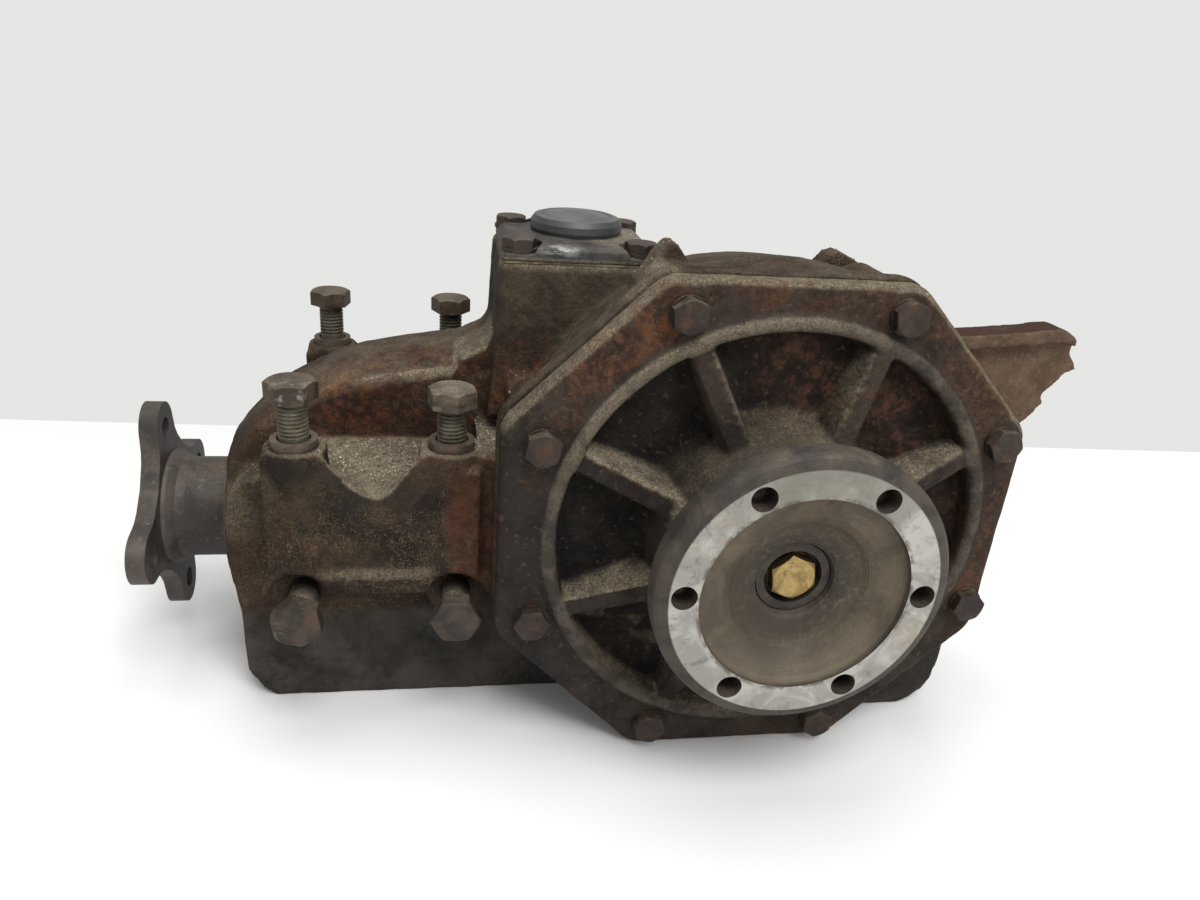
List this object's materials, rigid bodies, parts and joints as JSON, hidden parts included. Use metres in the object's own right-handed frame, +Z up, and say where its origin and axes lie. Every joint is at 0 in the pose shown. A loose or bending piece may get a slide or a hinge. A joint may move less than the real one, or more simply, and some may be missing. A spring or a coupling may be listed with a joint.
{
  "type": "right-angle final drive gearbox",
  "caption": "Cast-iron right-angle final drive gearbox with an octagonal bolted side cover, flanged outputs, a flanged input neck and a side mounting arm.",
  "frame": {"origin": "centre of the near drive flange's outer face, on the output axis", "axes": "+Z up; -Y out of the near drive flange along the output axis; -X out of the input flange along the pinion axis"},
  "size_m": [0.4477, 0.291, 0.2228],
  "materials": {
    "cast_housing": "sand-cast, oily dust over dark brown",
    "cast_cover": "sand-cast, light surface rust",
    "tower_plate": "sand-cast, worn dark",
    "gasket_paper": "compressed fibre gasket",
    "black_rubber": "satin moulded rubber",
    "zinc_grey": "dull zinc-plated fasteners",
    "zinc_yellow": "yellow-passivated zinc",
    "machined_steel": "turned steel, light staining",
    "dark_steel": "oxidised dark forged steel",
    "bearing_steel": "ground and polished bearing steel",
    "gear_steel": "lapped case-hardened gear steel",
    "cast_carrier": "oiled grey cast iron",
    "bronze": "sintered bronze",
    "seal": "rubber-covered seal ring",
    "copper": "soft copper sealing ring"
  },
  "bodies": {
    "case": {"main_housing": "cast_housing", "side_cover": "cast_cover", "side_cover_gasket": "gasket_paper", "side_cover_bolts": "zinc_grey", "tower_cover": "tower_plate", "tower_cover_gasket": "gasket_paper", "tower_cover_bolts": "zinc_grey", "tower_plug": "black_rubber", "nose_mount_bolts": "zinc_grey", "nose_dowel_sleeves": "dark_steel", "side_mount_bolts": "dark_steel", "filler_plug": "dark_steel", "drain_plug": "dark_steel", "plug_washers": "copper", "near_carrier_bearing_cup": "bearing_steel", "far_carrier_bearing_cup": "bearing_steel", "pinion_rear_bearing_cup": "bearing_steel", "pinion_front_bearing_cup": "bearing_steel", "carrier_shims": "machined_steel", "pinion_depth_shim": "machined_steel", "pinion_oil_seal": "seal", "near_output_seal": "seal", "far_output_seal": "seal"},
    "carrier": {"diff_carrier": "cast_carrier", "ring_gear": "gear_steel", "ring_gear_bolts": "dark_steel", "cross_pin": "machined_steel", "cross_pin_lock_pin": "machined_steel", "near_carrier_bearing_cone": "bearing_steel", "far_carrier_bearing_cone": "bearing_steel", "side_gear_thrust_washers": "bronze", "spider_thrust_washers": "bronze"},
    "pinion": {"pinion_shaft": "gear_steel", "crush_sleeve": "machined_steel", "input_flange": "dark_steel", "pinion_washer": "dark_steel", "pinion_nut": "dark_steel", "pinion_rear_bearing_cone": "bearing_steel", "pinion_front_bearing_cone": "bearing_steel"},
    "near_output": {"near_side_gear": "gear_steel", "near_drive_flange": "machined_steel", "near_flange_washer": "machined_steel", "near_flange_bolt": "zinc_yellow"},
    "far_output": {"far_side_gear": "gear_steel", "far_drive_flange": "machined_steel", "far_flange_washer": "machined_steel", "far_flange_bolt": "dark_steel"},
    "spider_upper": {"spider_gear_upper": "gear_steel"},
    "spider_lower": {"spider_gear_lower": "gear_steel"},
    "near_carrier_cage": {"near_carrier_bearing_rollers": "bearing_steel", "near_carrier_bearing_cage": "bearing_steel"},
    "far_carrier_cage": {"far_carrier_bearing_rollers": "bearing_steel", "far_carrier_bearing_cage": "bearing_steel"},
    "pinion_rear_cage": {"pinion_rear_bearing_rollers": "bearing_steel", "pinion_rear_bearing_cage": "bearing_steel"},
    "pinion_front_cage": {"pinion_front_bearing_rollers": "bearing_steel", "pinion_front_bearing_cage": "bearing_steel"}
  },
  "joints": [
    {"name": "carrier_spin", "type": "hinge", "parent": "case", "child": "carrier", "pos_m": [0, 0.1455, 0], "axis": [0, 1, 0], "continuous": true},
    {"name": "pinion_spin", "type": "hinge", "parent": "case", "child": "pinion", "pos_m": [-0.15, 0.1455, -0.0365], "axis": [1, 0, 0], "continuous": true},
    {"name": "near_output_spin", "type": "hinge", "parent": "carrier", "child": "near_output", "pos_m": [0, 0.1375, 0], "axis": [0, 1, 0], "continuous": true},
    {"name": "far_output_spin", "type": "hinge", "parent": "carrier", "child": "far_output", "pos_m": [0, 0.1375, 0], "axis": [0, 1, 0], "continuous": true},
    {"name": "spider_upper_spin", "type": "hinge", "parent": "carrier", "child": "spider_upper", "pos_m": [0, 0.1375, 0], "axis": [0, 0, 1], "continuous": true},
    {"name": "spider_lower_spin", "type": "hinge", "parent": "carrier", "child": "spider_lower", "pos_m": [0, 0.1375, 0], "axis": [0, 0, 1], "continuous": true},
    {"name": "near_carrier_cage_spin", "type": "hinge", "parent": "case", "child": "near_carrier_cage", "pos_m": [0, 0.1455, 0], "axis": [0, 1, 0], "continuous": true},
    {"name": "far_carrier_cage_spin", "type": "hinge", "parent": "case", "child": "far_carrier_cage", "pos_m": [0, 0.1455, 0], "axis": [0, 1, 0], "continuous": true},
    {"name": "pinion_rear_cage_spin", "type": "hinge", "parent": "case", "child": "pinion_rear_cage", "pos_m": [-0.15, 0.1455, -0.0365], "axis": [1, 0, 0], "continuous": true},
    {"name": "pinion_front_cage_spin", "type": "hinge", "parent": "case", "child": "pinion_front_cage", "pos_m": [-0.15, 0.1455, -0.0365], "axis": [1, 0, 0], "continuous": true}
  ],
  "couplings": [
    {"joint": "pinion_spin", "follows": "carrier_spin", "ratio": -4.1111},
    {"joint": "near_carrier_cage_spin", "follows": "carrier_spin", "ratio": 0.4254},
    {"joint": "far_carrier_cage_spin", "follows": "carrier_spin", "ratio": 0.4254},
    {"joint": "pinion_rear_cage_spin", "follows": "carrier_spin", "ratio": -1.694},
    {"joint": "pinion_front_cage_spin", "follows": "carrier_spin", "ratio": -1.697},
    {"joint": "far_output_spin", "follows": "near_output_spin", "ratio": -1},
    {"joint": "spider_upper_spin", "follows": "near_output_spin", "ratio": 1.6},
    {"joint": "spider_lower_spin", "follows": "near_output_spin", "ratio": -1.6}
  ]
}
